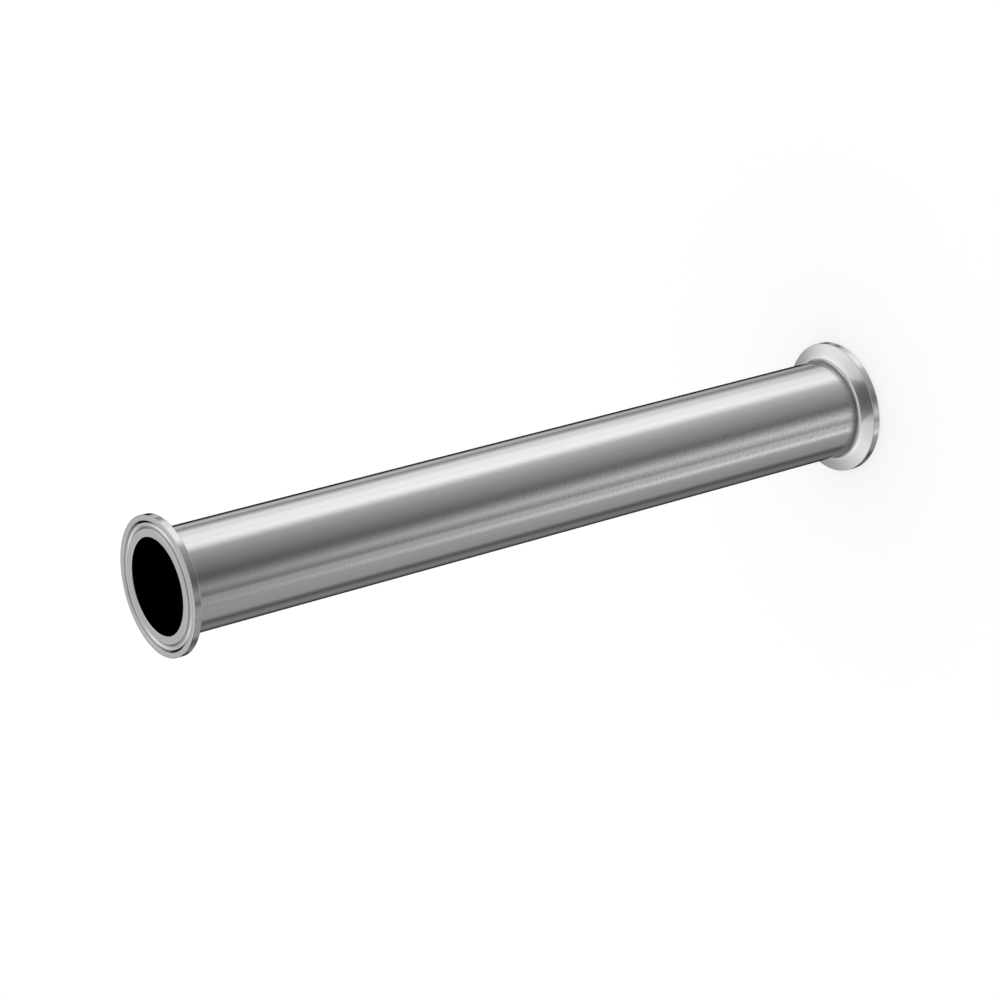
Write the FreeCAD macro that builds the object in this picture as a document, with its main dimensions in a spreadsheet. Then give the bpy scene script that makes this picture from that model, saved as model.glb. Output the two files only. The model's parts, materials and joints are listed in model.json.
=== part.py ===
"""Clamp-end pipe nipple: a straight stainless tube with a clamp flange at each end.

Millimetres. The nipple stands on one flange: Z runs along the tube, with z = 0 at the face it stands on.
Each end face has a round gasket groove, and each flange has a tapered back for a two-piece clamp.
"""

import FreeCAD, Part
import math
import os
import Sketcher

doc = FreeCAD.newDocument("clamp_end_nipple")

# Driving dimensions, in millimetres and degrees
SIZES = [
    ("overall_length", 304.8, "end face to end face"),
    ("tube_diameter", 38.1, "outside of the tube"),
    ("wall_thickness", 1.65, "tube wall"),
    ("flange_projection", 6.2, "how far the flange stands out from the tube, all round"),
    ("rim_thickness", 2.85, "edge of the flange, before its corners are rounded"),
    ("taper_angle", 20, "back of the flange against the end face"),
    ("neck_radius", 1.5, "inside fillet between the tube and the back of the flange"),
    ("rim_rounding", 0.3, "outer corners of the flange"),
    ("groove_inset", 3.4, "from the flange's outside to the middle of the gasket groove"),
    ("groove_depth", 1.45, "gasket groove, below the end face"),
    ("groove_radius", 1.3, "round section of the gasket groove"),
    ("lip_rounding", 0.3, "lips of the gasket groove and mouth of the bore"),
]

sheet = doc.addObject("Spreadsheet::Sheet", "Sizes")
for row, (alias, value, meaning) in enumerate(SIZES, start=1):
    sheet.set(f"A{row}", meaning)
    sheet.set(f"B{row}", str(value))
    sheet.setAlias(f"B{row}", alias)
doc.recompute()

# The nipple is modelled from its middle plane up, mirrored, and raised to stand on its lower end
nipple = doc.addObject("PartDesign::Body", "pipe_nipple")
nipple.Label = "pipe_nipple"
nipple.setExpression("Placement.Base.z", "Sizes.overall_length / 2")


def origin_plane(role):
    """The plane of the nipple's own origin that has this role, such as XY_Plane."""
    return next(plane for plane in nipple.Origin.OriginFeatures if plane.Role == role)


# Where the section's corners and arc centres lie: across from the axis, and up from the middle plane
tube_radius = sheet.tube_diameter / 2
bore_radius = tube_radius - sheet.wall_thickness
flange_radius = tube_radius + sheet.flange_projection
end_face = sheet.overall_length / 2
taper = math.radians(sheet.taper_angle)

back_corner = end_face - sheet.rim_thickness
neck_across = tube_radius + sheet.neck_radius
neck_up = back_corner - (flange_radius - neck_across) * math.tan(taper) - sheet.neck_radius / math.cos(taper)
rim_across = flange_radius - sheet.rim_rounding
rim_up = back_corner + sheet.rim_rounding * (1 / math.cos(taper) - math.tan(taper))

groove_across = flange_radius - sheet.groove_inset
groove_up = end_face - sheet.groove_depth + sheet.groove_radius
lip_up = end_face - sheet.lip_rounding
lip_slope = math.asin((lip_up - groove_up) / (sheet.groove_radius + sheet.lip_rounding))
lip_offset = (sheet.groove_radius + sheet.lip_rounding) * math.cos(lip_slope)

# Half section of the wall, in the plane of the axis. It runs up the tube, out along the back of the flange,
# up the rim, in across the end face and its gasket groove, and down the bore to the middle plane.
section = nipple.newObject("Sketcher::SketchObject", "WallSection")
section.AttachmentSupport = (origin_plane("XZ_Plane"), [""])
section.MapMode = "FlatFace"

START, END, CENTRE = 1, 2, 3
ORIGIN = -1


def line(start, end):
    """A straight stretch of the section."""
    return section.addGeometry(Part.LineSegment(FreeCAD.Vector(*start, 0), FreeCAD.Vector(*end, 0)))


def arc(centre, radius, first, last):
    """A round stretch of the section, anticlockwise between two angles in radians."""
    circle = Part.Circle(FreeCAD.Vector(*centre, 0), FreeCAD.Vector(0, 0, 1), radius)
    return section.addGeometry(Part.ArcOfCircle(circle, first, last))


def on_arc(centre, radius, angle):
    """The point at this angle on a circle."""
    return (centre[0] + radius * math.cos(angle), centre[1] + radius * math.sin(angle))


def size(name, constraint, expression):
    """A named dimension of the section, bound to the sheet."""
    section.renameConstraint(section.addConstraint(constraint), name)
    section.setExpression(f"Constraints.{name}", expression)


quarter = math.pi / 2
neck_centre = (neck_across, neck_up)
back_round_centre = (rim_across, rim_up)
front_round_centre = (rim_across, end_face - sheet.rim_rounding)
outer_lip_centre = (groove_across + lip_offset, lip_up)
groove_centre = (groove_across, groove_up)
inner_lip_centre = (groove_across - lip_offset, lip_up)
mouth_centre = (bore_radius + sheet.lip_rounding, lip_up)

tube = line((tube_radius, 0), (tube_radius, neck_up))
neck = arc(neck_centre, sheet.neck_radius, quarter + taper, 2 * quarter)
back = line(
    on_arc(neck_centre, sheet.neck_radius, quarter + taper),
    on_arc(back_round_centre, sheet.rim_rounding, taper - quarter),
)
back_round = arc(back_round_centre, sheet.rim_rounding, taper - quarter, 0)
rim = line((flange_radius, rim_up), (flange_radius, front_round_centre[1]))
front_round = arc(front_round_centre, sheet.rim_rounding, 0, quarter)
outer_face = line((rim_across, end_face), (outer_lip_centre[0], end_face))
outer_lip = arc(outer_lip_centre, sheet.lip_rounding, quarter, 2 * quarter + lip_slope)
groove = arc(groove_centre, sheet.groove_radius, 2 * quarter - lip_slope, 4 * quarter + lip_slope)
inner_lip = arc(inner_lip_centre, sheet.lip_rounding, -lip_slope, quarter)
inner_face = line((inner_lip_centre[0], end_face), (mouth_centre[0], end_face))
mouth = arc(mouth_centre, sheet.lip_rounding, quarter, 2 * quarter)
bore = line((bore_radius, lip_up), (bore_radius, 0))
middle = line((bore_radius, 0), (tube_radius, 0))

# Each stretch runs smoothly into the next. The neck and the groove curve inwards, so they join end first.
smooth_joints = [
    (tube, END, neck, END),
    (neck, START, back, START),
    (back, END, back_round, START),
    (back_round, END, rim, START),
    (rim, END, front_round, START),
    (front_round, END, outer_face, START),
    (outer_face, END, outer_lip, START),
    (outer_lip, END, groove, END),
    (groove, START, inner_lip, START),
    (inner_lip, END, inner_face, START),
    (inner_face, END, mouth, START),
    (mouth, END, bore, START),
]
for joint in smooth_joints:
    section.addConstraint(Sketcher.Constraint("Tangent", *joint))
for joint in ((bore, END, middle, START), (middle, END, tube, START)):
    section.addConstraint(Sketcher.Constraint("Coincident", *joint))
for upright in (tube, rim, bore):
    section.addConstraint(Sketcher.Constraint("Vertical", upright))
for level in (outer_face, inner_face):
    section.addConstraint(Sketcher.Constraint("Horizontal", level))
section.addConstraint(Sketcher.Constraint("PointOnObject", middle, START, ORIGIN))
section.addConstraint(Sketcher.Constraint("PointOnObject", middle, END, ORIGIN))

# The sharp corner that the rim and the back of the flange would meet in, to measure the rim from
sharp_corner = section.addGeometry(Part.Point(FreeCAD.Vector(flange_radius, back_corner, 0)), True)
section.addConstraint(Sketcher.Constraint("PointOnObject", sharp_corner, START, rim))
section.addConstraint(Sketcher.Constraint("PointOnObject", sharp_corner, START, back))


def across(stretch, point, distance):
    """Distance of a point of the section from the axis."""
    return Sketcher.Constraint("DistanceX", ORIGIN, START, stretch, point, distance)


def up(stretch, point, distance):
    """Distance of a point of the section from the middle plane."""
    return Sketcher.Constraint("DistanceY", ORIGIN, START, stretch, point, distance)


size("tube", across(tube, START, tube_radius), "Sizes.tube_diameter / 2")
size("bore", across(bore, START, bore_radius), "Sizes.tube_diameter / 2 - Sizes.wall_thickness")
size("flange", across(rim, START, flange_radius), "Sizes.tube_diameter / 2 + Sizes.flange_projection")
size("outer_end", up(outer_face, START, end_face), "Sizes.overall_length / 2")
size("inner_end", up(inner_face, START, end_face), "Sizes.overall_length / 2")
size(
    "rim_thickness",
    Sketcher.Constraint("DistanceY", sharp_corner, START, outer_face, START, sheet.rim_thickness),
    "Sizes.rim_thickness",
)
size("taper", Sketcher.Constraint("Angle", back, taper), "Sizes.taper_angle * 1 deg")
size(
    "groove_inset",
    Sketcher.Constraint("DistanceX", groove, CENTRE, rim, START, sheet.groove_inset),
    "Sizes.groove_inset",
)
size(
    "groove_middle",
    up(groove, CENTRE, groove_up),
    "Sizes.overall_length / 2 - Sizes.groove_depth + Sizes.groove_radius",
)
size("groove_radius", Sketcher.Constraint("Radius", groove, sheet.groove_radius), "Sizes.groove_radius")
size("neck_radius", Sketcher.Constraint("Radius", neck, sheet.neck_radius), "Sizes.neck_radius")
for name, corner in (("back_round", back_round), ("front_round", front_round)):
    size(name, Sketcher.Constraint("Radius", corner, sheet.rim_rounding), "Sizes.rim_rounding")
for name, corner in (("outer_lip", outer_lip), ("inner_lip", inner_lip), ("mouth", mouth)):
    size(name, Sketcher.Constraint("Radius", corner, sheet.lip_rounding), "Sizes.lip_rounding")

# Turned round the axis, then mirrored in the middle plane
upper_half = nipple.newObject("PartDesign::Revolution", "UpperHalf")
upper_half.Profile = section
upper_half.ReferenceAxis = (section, ["V_Axis"])
upper_half.Angle = 360
doc.recompute()

both_halves = nipple.newObject("PartDesign::Mirrored", "BothHalves")
both_halves.Originals = [upper_half]
both_halves.MirrorPlane = (origin_plane("XY_Plane"), [""])
nipple.Tip = both_halves
doc.recompute()

for feature in doc.Objects:
    if "Invalid" in feature.State or "Error" in feature.State:
        raise RuntimeError(f"{feature.Label} is {feature.State}")
if nipple.Shape.isNull() or not nipple.Shape.isValid() or len(nipple.Shape.Solids) != 1:
    raise RuntimeError("the nipple is not one valid solid")
if not math.isclose(nipple.Shape.Volume, 2 * upper_half.Shape.Volume, rel_tol=1e-6):
    raise RuntimeError("the mirrored half adds the wrong volume")

os.makedirs("parts", exist_ok=True)
nipple.Shape.exportStep(os.path.join("parts", f"{nipple.Label}.step"))
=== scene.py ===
import json
import math

import bmesh
import bpy
from mathutils import Matrix, Vector


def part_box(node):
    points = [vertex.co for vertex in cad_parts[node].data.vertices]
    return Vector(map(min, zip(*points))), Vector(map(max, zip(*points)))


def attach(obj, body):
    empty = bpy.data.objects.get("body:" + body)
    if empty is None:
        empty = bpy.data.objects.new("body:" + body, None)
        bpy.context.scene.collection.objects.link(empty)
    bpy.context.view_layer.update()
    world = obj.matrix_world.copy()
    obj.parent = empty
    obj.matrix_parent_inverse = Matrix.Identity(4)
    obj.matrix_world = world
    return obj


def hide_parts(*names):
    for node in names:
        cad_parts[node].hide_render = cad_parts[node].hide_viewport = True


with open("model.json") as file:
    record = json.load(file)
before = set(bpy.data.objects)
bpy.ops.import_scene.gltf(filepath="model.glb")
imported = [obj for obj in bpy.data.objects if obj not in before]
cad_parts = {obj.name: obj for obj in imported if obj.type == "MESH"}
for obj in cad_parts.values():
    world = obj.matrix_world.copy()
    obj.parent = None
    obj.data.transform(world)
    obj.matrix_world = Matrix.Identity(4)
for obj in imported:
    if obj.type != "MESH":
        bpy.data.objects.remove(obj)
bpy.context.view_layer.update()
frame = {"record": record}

# Nipple wall. A thin stainless tube with a clamp flange welded to each end and the welds ground flush, so it
# is one skin here: tube, necks, tapered backs, rims, end faces with their gasket grooves, and the bore.
# The tube is belt polished round its girth, and the flanges are turned and polished. All of it is bare.
MM = 0.001
QUARTER = math.pi / 2
low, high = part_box("pipe_nipple")
mounts = {mount["name"]: mount for mount in frame["record"]["mounts"]}
LENGTH = high.z - low.z
FLANGE_RADIUS = mounts["upper_flange"]["dims"]["r_mm"] * MM
BORE_RADIUS = mounts["bore"]["dims"]["r_mm"] * MM
WALL = 1.65 * MM
TUBE_RADIUS = BORE_RADIUS + WALL
RIM_THICKNESS = 2.85 * MM
TAPER = math.radians(20)
NECK_RADIUS = 1.5 * MM
RIM_ROUNDING = 0.3 * MM
GROOVE_INSET = 3.4 * MM
GROOVE_DEPTH = 1.45 * MM
GROOVE_RADIUS = 1.3 * MM
LIP_ROUNDING = 0.3 * MM

# Steps in the outline's arcs, spacing along the straight tube, and steps round the axis
NECK_STEPS = 14
RIM_STEPS = 8
LIP_STEPS = 7
GROOVE_STEPS = 28
STRETCH = 8 * MM
SEGMENTS_ROUND = 320

# Colour: how bright the bare steel is, painted shade in the bore and above the lower weld, and a painted
# highlight on the necks
STEEL_COLOUR = 0.62
STEEL_WARMTH = (1.0, 0.998, 0.993)
GRAZING_TINT = 0.77
CLOUDING = 0.03
BORE_PAINTED_SHADE = 0.4
NECK_PAINTED_HIGHLIGHT = 0.15
LOWER_NECK_PAINTED_SHADE = 0.18

# Roughness of each surface, its spread, and what the satin ring adds where the lower weld was ground
TUBE_ROUGHNESS = 0.11
FLANGE_ROUGHNESS = 0.07
BORE_ROUGHNESS = 0.08
ROUGHNESS_SPREAD = 0.03
WELD_BLEND = 0.14

# Where these start and stop: outwards from the bore, and along the axis from an end face
BORE_SKIN = (0.02 * WALL, 0.07 * WALL)
FLANGE_REACH = (5.4 * MM, 6 * MM)
NECK_FROM = (4.1 * MM, 4.9 * MM)
NECK_TO = (5.6 * MM, 6.2 * MM)
LINE_FROM = (6 * MM, 6.4 * MM)
LINE_TO = (6.6 * MM, 7.8 * MM)
WELD_NEAR = (6 * MM, 7.2 * MM)
WELD_FAR = (7.8 * MM, 11 * MM)

# Marks left by the polishing, as scales per metre across and along the tube, and as depths. The belt's marks
# fade towards the upper end, and a strip along one side, roughest at the lower end, was polished less.
GRAIN = (750, 750, 1450)
GRAIN_DEPTH = 0.026 * MM
GRAIN_LOSS = 0.7
GRAIN_TONE = 0.03
WAVES = (280, 280, 400)
WAVE_DEPTH = 0.012 * MM
CLOUDS = (60, 60, 60)
CLOUD_DETAIL = 4.0
ROUGH_PATCH = math.radians(-108)
PATCH_EDGES = (0.92, 0.98)
PATCH_FALL = 1.5
PATCH_TONE = 0.42
PATCH_DEPTH = 0.01 * MM
TURNED_MARKS = 2600
TURNED_DETAIL = 2.0
TURNED_DEPTH = 0.0015 * MM


def arc(centre, radius, first, last, steps, hollow=False):
    """Points of an arc as (radius, depth below the end face), each with the direction out of the metal."""
    points = []
    for step in range(steps + 1):
        angle = first + (last - first) * step / steps
        across, down = math.cos(angle), math.sin(angle)
        side = -1 if hollow else 1
        place = (centre[0] + radius * across, centre[1] + radius * down)
        points.append((place, (side * across, side * down)))
    return points


def flange_outline():
    """Outline of one end from the tube to the bore, with depth counted down from the end face."""
    slope = math.tan(TAPER)
    neck = (
        TUBE_RADIUS + NECK_RADIUS,
        RIM_THICKNESS + (FLANGE_RADIUS - TUBE_RADIUS - NECK_RADIUS) * slope + NECK_RADIUS / math.cos(TAPER),
    )
    corner = FLANGE_RADIUS - RIM_ROUNDING
    back = (corner, RIM_THICKNESS + RIM_ROUNDING * (slope - 1 / math.cos(TAPER)))
    front = (corner, RIM_ROUNDING)
    groove = (FLANGE_RADIUS - GROOVE_INSET, GROOVE_DEPTH - GROOVE_RADIUS)
    lip_slope = math.asin((LIP_ROUNDING - groove[1]) / (GROOVE_RADIUS + LIP_ROUNDING))
    reach = (GROOVE_RADIUS + LIP_ROUNDING) * math.cos(lip_slope)
    outer_lip = (groove[0] + reach, LIP_ROUNDING)
    inner_lip = (groove[0] - reach, LIP_ROUNDING)
    mouth = (BORE_RADIUS + LIP_ROUNDING, LIP_ROUNDING)
    return [
        *arc(neck, NECK_RADIUS, 2 * QUARTER, 3 * QUARTER - TAPER, NECK_STEPS, hollow=True),
        *arc(back, RIM_ROUNDING, QUARTER - TAPER, 0, RIM_STEPS),
        *arc(front, RIM_ROUNDING, 0, -QUARTER, RIM_STEPS),
        *arc(outer_lip, LIP_ROUNDING, -QUARTER, -2 * QUARTER + lip_slope, LIP_STEPS),
        *arc(groove, GROOVE_RADIUS, lip_slope, 2 * QUARTER - lip_slope, GROOVE_STEPS, hollow=True),
        *arc(inner_lip, LIP_ROUNDING, -lip_slope, -QUARTER, LIP_STEPS),
        *arc(mouth, LIP_ROUNDING, -QUARTER, -2 * QUARTER, LIP_STEPS),
    ]


def straight(start, end):
    """Points between two outline points, evenly spaced and with the same direction, without the ends."""
    (start_place, direction), (end_place, _) = start, end
    rise = end_place[1] - start_place[1]
    count = max(1, round(abs(rise) / STRETCH))
    return [((start_place[0], start_place[1] + rise * step / count), direction) for step in range(1, count)]


def wall_outline():
    """The wall's closed outline, by radius and height: top end, bore, bottom end and tube."""
    top = [((across, LENGTH - depth), (out, -down)) for (across, depth), (out, down) in flange_outline()]
    bottom = list(reversed(flange_outline()))
    return [*top, *straight(top[-1], bottom[0]), *bottom, *straight(bottom[-1], top[0])]


def spun(name, outline):
    """A mesh of the outline turned round the axis, shaded by the outline's own directions."""
    skin = bmesh.new()
    rings, directions = [], []
    for (across, up), (out, rise) in outline:
        ring = []
        for segment in range(SEGMENTS_ROUND):
            angle = math.tau * segment / SEGMENTS_ROUND
            cosine, sine = math.cos(angle), math.sin(angle)
            ring.append(skin.verts.new((across * cosine, across * sine, low.z + up)))
            directions.append((out * cosine, out * sine, rise))
        rings.append(ring)
    for ring, following in zip(rings, rings[1:] + rings[:1]):
        for segment in range(SEGMENTS_ROUND):
            after = (segment + 1) % SEGMENTS_ROUND
            skin.faces.new((ring[segment], following[segment], following[after], ring[after]))
    bmesh.ops.recalc_face_normals(skin, faces=skin.faces[:])
    mesh = bpy.data.meshes.new(name)
    skin.to_mesh(mesh)
    skin.free()
    mesh.polygons.foreach_set("use_smooth", [True] * len(mesh.polygons))
    mesh.normals_split_custom_set_from_vertices(directions)
    return mesh


class Wire:
    """A socket in a node tree, or the tree alone. Arithmetic on wires adds Math nodes."""

    def __init__(self, tree, socket=None):
        self.tree = tree
        self.socket = socket

    def node(self, kind, settings=None, inputs=None, output=0):
        """A new node, set up, fed with values or wires, as a wire from one of its outputs."""
        made = self.tree.nodes.new(kind)
        for name, value in (settings or {}).items():
            setattr(made, name, value)
        for name, value in (inputs or {}).items():
            if isinstance(value, Wire):
                self.tree.links.new(value.socket, made.inputs[name])
            else:
                made.inputs[name].default_value = value
        return Wire(self.tree, made.outputs[output] if made.outputs else None)

    def parts(self, *names):
        """Wires from other outputs of the node that this wire comes from."""
        return [Wire(self.tree, self.socket.node.outputs[name]) for name in names]

    def maths(self, operation, *others):
        """A Math node with this wire first."""
        return self.node("ShaderNodeMath", {"operation": operation}, dict(enumerate((self, *others))))

    def __add__(self, other):
        return self.maths("ADD", other)

    def __sub__(self, other):
        return self.maths("SUBTRACT", other)

    def __rsub__(self, other):
        return self.node("ShaderNodeMath", {"operation": "SUBTRACT"}, {0: other, 1: self})

    def __mul__(self, other):
        return self.maths("MULTIPLY", other)

    def __truediv__(self, other):
        return self.maths("DIVIDE", other)

    __radd__ = __add__
    __rmul__ = __mul__

    def smooth(self, start, end):
        """0 up to start and 1 from end, with an even bend between."""
        limits = {"Value": self, "From Min": start, "From Max": end}
        return self.node("ShaderNodeMapRange", {"interpolation_type": "SMOOTHSTEP"}, limits)


def emptied(block):
    """The node tree of a material or a world, emptied, as a wire to build from."""
    block.use_nodes = True
    block.node_tree.nodes.clear()
    return Wire(block.node_tree)


def polished_steel():
    """Bright stainless, belt polished on the tube and turned on the flanges. Shade and a neck highlight are
    painted in.
    """
    made = bpy.data.materials.new("polished_steel")
    start = emptied(made)
    place = start.node("ShaderNodeTexCoord", output="Object")
    across, along, up = start.node("ShaderNodeSeparateXYZ", inputs={"Vector": place}).parts("X", "Y", "Z")
    radius = (across * across + along * along).maths("SQRT")
    from_end = up.maths("MINIMUM", LENGTH - up)

    # Where each surface is, from 0 to 1
    # The bore: rougher there, and its steel darkened as painted shade
    inside = 1 - (radius - BORE_RADIUS).smooth(*BORE_SKIN)
    flange = 1 - from_end.smooth(*FLANGE_REACH)
    # A highlight painted on both necks, as brighter steel
    painted_neck_highlight = from_end.smooth(*NECK_FROM) * (1 - from_end.smooth(*NECK_TO)) * (1 - inside)
    # Shade painted as a dark line on the tube just above the lower neck
    lower_neck_painted_shade = up.smooth(*LINE_FROM) * (1 - up.smooth(*LINE_TO)) * (1 - inside)
    blended = up.smooth(*WELD_NEAR) * (1 - up.smooth(*WELD_FAR))
    facing = (across * math.cos(ROUGH_PATCH) + along * math.sin(ROUGH_PATCH)) / radius
    patch = facing.smooth(*PATCH_EDGES) * (1 - up / LENGTH).maths("POWER", PATCH_FALL)

    def speckle(scales, detail=1.0):
        """Noise with its own scale along each axis."""
        spread = start.node("ShaderNodeVectorMath", {"operation": "MULTIPLY"}, {0: place, 1: scales})
        return start.node("ShaderNodeTexNoise", inputs={"Vector": spread, "Scale": 1.0, "Detail": detail})

    grain = speckle(GRAIN)
    waves = speckle(WAVES)
    cloud = speckle(CLOUDS, CLOUD_DETAIL)
    spin = start.node("ShaderNodeCombineXYZ", inputs={"X": radius, "Z": up})
    fine = {"Vector": spin, "Scale": TURNED_MARKS, "Detail": TURNED_DETAIL}
    turned = start.node("ShaderNodeTexNoise", inputs=fine)

    # Depths are worked out in millimetres
    wear = 1 - up * (GRAIN_LOSS / LENGTH)
    bite = wear * (GRAIN_DEPTH / MM) + patch * (PATCH_DEPTH / MM)
    belt = grain * bite + waves * wear * (WAVE_DEPTH / MM)
    marks = belt * (1 - flange) + turned * flange * (TURNED_DEPTH / MM)
    relief = start.node("ShaderNodeBump", inputs={"Height": marks, "Distance": MM, "Strength": 1.0})
    roughness = (
        TUBE_ROUGHNESS
        + flange * (FLANGE_ROUGHNESS - TUBE_ROUGHNESS)
        + inside * (BORE_ROUGHNESS - TUBE_ROUGHNESS)
        + (cloud - 0.5) * ROUGHNESS_SPREAD
        + blended * WELD_BLEND
    )
    tone = (grain - 0.5) * (1 - flange) * (GRAIN_TONE + patch * PATCH_TONE) + (cloud - 0.5) * CLOUDING
    # Steel brightness with random tone, a painted highlight on the necks, and painted shade above the lower
    # neck and in the bore
    brightness = STEEL_COLOUR * (1 + tone + painted_neck_highlight * NECK_PAINTED_HIGHLIGHT - lower_neck_painted_shade * LOWER_NECK_PAINTED_SHADE - inside * BORE_PAINTED_SHADE)
    warm = {0: STEEL_WARMTH, "Scale": brightness}
    metal = start.node(
        "ShaderNodeBsdfPrincipled",
        inputs={
            "Base Color": start.node("ShaderNodeVectorMath", {"operation": "SCALE"}, warm),
            "Metallic": 1.0,
            "Roughness": roughness,
            "Specular Tint": (GRAZING_TINT,) * 3 + (1,),
            "Normal": relief,
        },
    )
    start.node("ShaderNodeOutputMaterial", inputs={"Surface": metal})
    return made


wall = spun("nipple_wall", wall_outline())
wall.materials.append(polished_steel())
nipple = bpy.data.objects.new("nipple_wall", wall)
bpy.context.scene.collection.objects.link(nipple)
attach(nipple, "root")
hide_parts("pipe_nipple")

# Floor. A plain white table top that the nipple stands on. It is white to the camera and keeps the shadow,
# and mirrors look past it to the studio's light panels.
FLOOR_HALF = 6.0
FLOOR_PANES = 4
FLOOR_COLOUR = 0.8
FLOOR_LIFT = 0.42


def white_floor():
    """Matt white, lifted for the camera alone so that it shows as a white background."""
    made = bpy.data.materials.new("floor")
    start = emptied(made)
    seen = start.node("ShaderNodeLightPath", output="Is Camera Ray")
    matt = start.node("ShaderNodeBsdfDiffuse", inputs={"Color": (FLOOR_COLOUR,) * 3 + (1,)})
    lift = start.node("ShaderNodeEmission", inputs={"Strength": seen * FLOOR_LIFT})
    both = start.node("ShaderNodeAddShader", inputs={0: matt, 1: lift})
    start.node("ShaderNodeOutputMaterial", inputs={"Surface": both})
    return made


plate = bmesh.new()
bmesh.ops.create_grid(plate, x_segments=FLOOR_PANES, y_segments=FLOOR_PANES, size=FLOOR_HALF)
floor_mesh = bpy.data.meshes.new("floor")
plate.to_mesh(floor_mesh)
plate.free()
floor_mesh.materials.append(white_floor())
floor = bpy.data.objects.new("floor", floor_mesh)
floor.location.z = low.z
floor.visible_glossy = False
bpy.context.scene.collection.objects.link(floor)

# Studio. Long soft panels stand round the nipple and reach down past its foot, with a dark gap behind it.
# Above them run a pale wall with dark flags, large softboxes behind, and a ceiling with a dim middle. It is
# laid out by direction alone: bearings in degrees round from +X, and heights in degrees above level.
ROOM_LEVEL = 0.09

# Each panel adds to the dim room: bearing, half width, softness, level, and its gain lower down
PANELS = {
    "key": (-12.3, 19.2, 12, 1.0, -0.07),
    "key_shoulder": (18, 0, 30, 2.05, -0.2),
    "side_strip": (49, 8.4, 7.5, 0.69, -0.22),
    "key_fall_off": (-42, 15, 55, 0.73, 0.28),
    "front_panel": (-119.5, 9, 19, 0.61, 0.64),
    "front_strip": (-146, 9, 5, 0.43, 0.36),
    "far_strip": (-157, 1, 10, 0.86, 0.9),
    "far_panel": (-179, 19.5, 9, 0.33, -0.1),
    "back_glow": (133.5, 11.5, 18, 0.25, -0.25),
    "front_room": (-122, 54, 10, 0.05, 0.9),
}

# From here on, a pair is two heights that a change runs between, and three numbers are a bearing, a half
# width and a softness
PANEL_LEAN = (-24, -42)
PANEL_MIDDLE = 1.03
PANEL_FADE = 0.17
GAP = (88, 28, 8)
GAP_GLOW = 0.075
GLOW_RISE = (-25, -19)
HORIZON = (-12, 0)

LOW_WALL = 0.5
FRONT_SHADE = (-141, 66, 15)
FRONT_SHADE_DEPTH = 0.35
HIGH_WALL = 0.76
SOFTBOXES = (75, 73, 15)
SOFTBOX_LEVEL = 1.2
SOFTBOX_FOOT = (8, 42)
FOOT_RISE = (128, 14, 14)
FOOT_RISE_BY = 8
SEAM = (90, 12, 8)
SEAM_DEPTH = 0.27

# The flags: bearing, half width, softness, whole below this height and gone above this one
BACK_FLAGS = [(90, 42, 9, -4, 7), (90, 10, 7, 14, 26)]
FLAG_DEPTH = 0.85
SLOT = (88, 6, 4)
SLOT_FOOT = (29.5, 32.5)
SLOT_TOP = (38, 42)
CEILING_LEVEL = 0.8
CEILING_EDGE = (46, 80)
CEILING_HOLE = (68, 80)
HOLE_LEVEL = 0.3
FILL_LEVEL = 0.75

# The least level part of a direction, so that one straight up or down still has a bearing
LEAST_LEVEL = 1e-4


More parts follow.
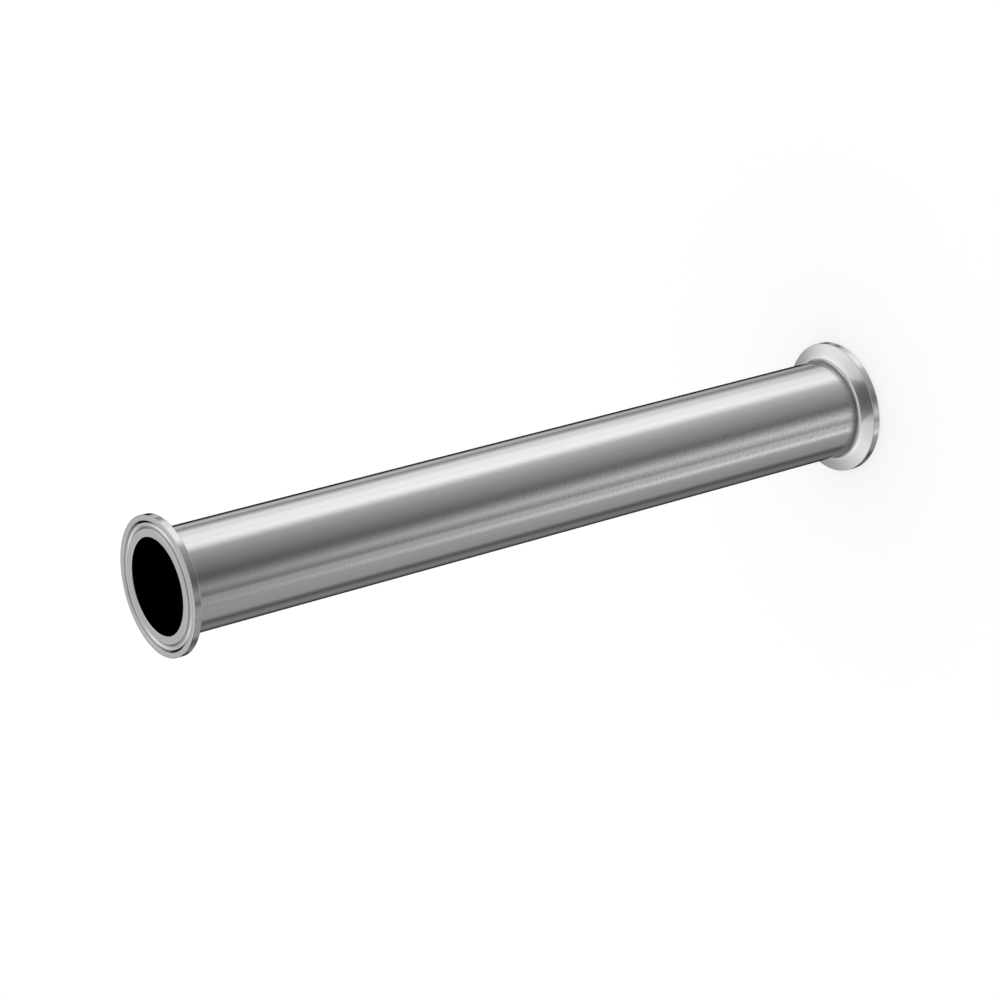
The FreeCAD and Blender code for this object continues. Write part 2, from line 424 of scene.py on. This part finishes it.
def studio_world():
    """White to the camera, the panels and the room to mirrors, an even fill to everything else."""
    made = bpy.data.worlds.new("studio")
    start = emptied(made)
    aimed = start.node("ShaderNodeTexCoord", output="Generated")
    across, along, up = start.node("ShaderNodeSeparateXYZ", inputs={"Vector": aimed}).parts("X", "Y", "Z")
    height = up.maths("ARCSINE") * math.degrees(1)
    level = (1 - up * up).maths("SQRT").maths("MAXIMUM", LEAST_LEVEL)

    def window(bearing, half, softness):
        """1 towards a bearing and 0 away from it."""
        facing = (across * math.cos(math.radians(bearing)) + along * math.sin(math.radians(bearing))) / level
        apart = facing.maths("MINIMUM", 1.0).maths("MAXIMUM", -1.0).maths("ARCCOSINE") * math.degrees(1)
        return 1 - apart.smooth(half - softness, half + softness)

    # The panels, where the lean runs from -1 at their top to 1 at their foot
    first, last = PANEL_LEAN
    span = {"Value": height, "From Min": first, "From Max": last, "To Min": -1.0, "To Max": 1.0}
    lean = start.node("ShaderNodeMapRange", inputs=span)
    gap = window(*GAP)
    side = (1 - gap) * ROOM_LEVEL + gap * height.smooth(*GLOW_RISE) * GAP_GLOW
    for bearing, half, softness, brightness, gain in PANELS.values():
        side = window(bearing, half, softness) * (1 + lean * gain) * brightness + side
    side = side * (PANEL_MIDDLE - lean * lean * PANEL_FADE)

    # The wall above them, from its low part up to the softboxes, less the flags and the slot
    low_wall = (1 - window(*FRONT_SHADE) * FRONT_SHADE_DEPTH) * LOW_WALL
    softboxes = window(*SOFTBOXES) * (SOFTBOX_LEVEL - HIGH_WALL) + HIGH_WALL
    high_wall = softboxes * (1 - window(*SEAM) * SEAM_DEPTH)
    foot = (height - window(*FOOT_RISE) * FOOT_RISE_BY).smooth(*SOFTBOX_FOOT)
    above = low_wall * (1 - foot) + high_wall * foot
    for bearing, half, softness, whole, gone in BACK_FLAGS:
        flag = window(bearing, half, softness) * (1 - height.smooth(whole, gone))
        above = above * (1 - flag * FLAG_DEPTH)
    above = above * (1 - window(*SLOT) * height.smooth(*SLOT_FOOT) * (1 - height.smooth(*SLOT_TOP)))

    ceiling = height.smooth(*CEILING_EDGE)
    above = above * (1 - ceiling) + ceiling * CEILING_LEVEL
    above = above * (1 - height.smooth(*CEILING_HOLE) * (1 - HOLE_LEVEL))
    horizon = height.smooth(*HORIZON)
    mirrored = side * (1 - horizon) + above * horizon

    rays = start.node("ShaderNodeLightPath")
    camera_ray, glossy_ray, clear_ray = rays.parts("Is Camera Ray", "Is Glossy Ray", "Is Transmission Ray")
    to_mirrors = glossy_ray.maths("MAXIMUM", clear_ray)
    other = camera_ray + (1 - camera_ray) * FILL_LEVEL
    strength = to_mirrors * mirrored + (1 - to_mirrors) * other
    light = start.node("ShaderNodeBackground", inputs={"Color": (1, 1, 1, 1), "Strength": strength})
    start.node("ShaderNodeOutputWorld", inputs={"Surface": light})
    return made


bpy.context.scene.world = studio_world()

# Dark card. A black cloth card hangs behind the upper end, from its level up and out of the picture, for the
# gasket groove to mirror as fine dark lines. Its edges are frayed thin, so that they mirror softly, and it
# shows only to mirrors close by, so that the lower flange doesn't mirror it in views from the side.
CARD_BEHIND = 0.3
CARD_HALF = 0.21
CARD_HEIGHTS = (0.295, 0.42)
CARD_SIDES = (0.16, 0.21)
CARD_EDGE = (0.385, 0.42)
CARD_REACH = (0.4, 0.43)


def black_cloth():
    """Black, thinner towards the sides and the upper edge, and gone for mirrors further off."""
    made = bpy.data.materials.new("black_cloth")
    start = emptied(made)
    place = start.node("ShaderNodeTexCoord", output="Object")
    across, up = start.node("ShaderNodeSeparateXYZ", inputs={"Vector": place}).parts("X", "Z")
    away = start.node("ShaderNodeLightPath", output="Ray Length")
    edges = (1 - across.maths("ABSOLUTE").smooth(*CARD_SIDES)) * (1 - up.smooth(*CARD_EDGE))
    cover = edges * (1 - away.smooth(*CARD_REACH))
    cloth = start.node("ShaderNodeBsdfDiffuse", inputs={"Color": (0, 0, 0, 1)})
    gap = start.node("ShaderNodeBsdfTransparent")
    both = start.node("ShaderNodeMixShader", inputs={0: cover, 1: gap, 2: cloth})
    start.node("ShaderNodeOutputMaterial", inputs={"Surface": both})
    return made


card_foot, card_top = CARD_HEIGHTS
corners = [
    (-CARD_HALF, CARD_BEHIND, card_foot),
    (CARD_HALF, CARD_BEHIND, card_foot),
    (CARD_HALF, CARD_BEHIND, card_top),
    (-CARD_HALF, CARD_BEHIND, card_top),
]
card_mesh = bpy.data.meshes.new("dark_card")
card_mesh.from_pydata(corners, [], [(0, 1, 2, 3)])
card_mesh.materials.append(black_cloth())
card = bpy.data.objects.new("dark_card", card_mesh)
card.visible_camera = False
card.visible_diffuse = False
card.visible_shadow = False
bpy.context.scene.collection.objects.link(card)

# Camera. A long lens that looks down on the standing nipple from the side of its upper end, turned until
# the tube runs from lower left to upper right.
LENS = 124.26
SENSOR = 36
CAMERA_PLACE = (-0.00158, -1.06044, 0.83636)
LOOKING_DOWN = math.radians(32.478)
ROLL = math.radians(-104.966)

eye = bpy.data.cameras.new("camera")
eye.sensor_width = SENSOR
eye.lens = LENS
camera = bpy.data.objects.new("camera", eye)
forward = Vector((0, math.cos(LOOKING_DOWN), -math.sin(LOOKING_DOWN)))
level_right = Vector((1, 0, 0))
level_up = level_right.cross(forward)
right = level_right * math.cos(ROLL) + level_up * math.sin(ROLL)
upward = right.cross(forward)
turn = Matrix((right, upward, -forward)).transposed()
camera.matrix_world = Matrix.Translation(CAMERA_PLACE) @ turn.to_4x4()
bpy.context.scene.collection.objects.link(camera)
bpy.context.scene.camera = camera

bpy.context.scene.view_settings.view_transform = "Standard"
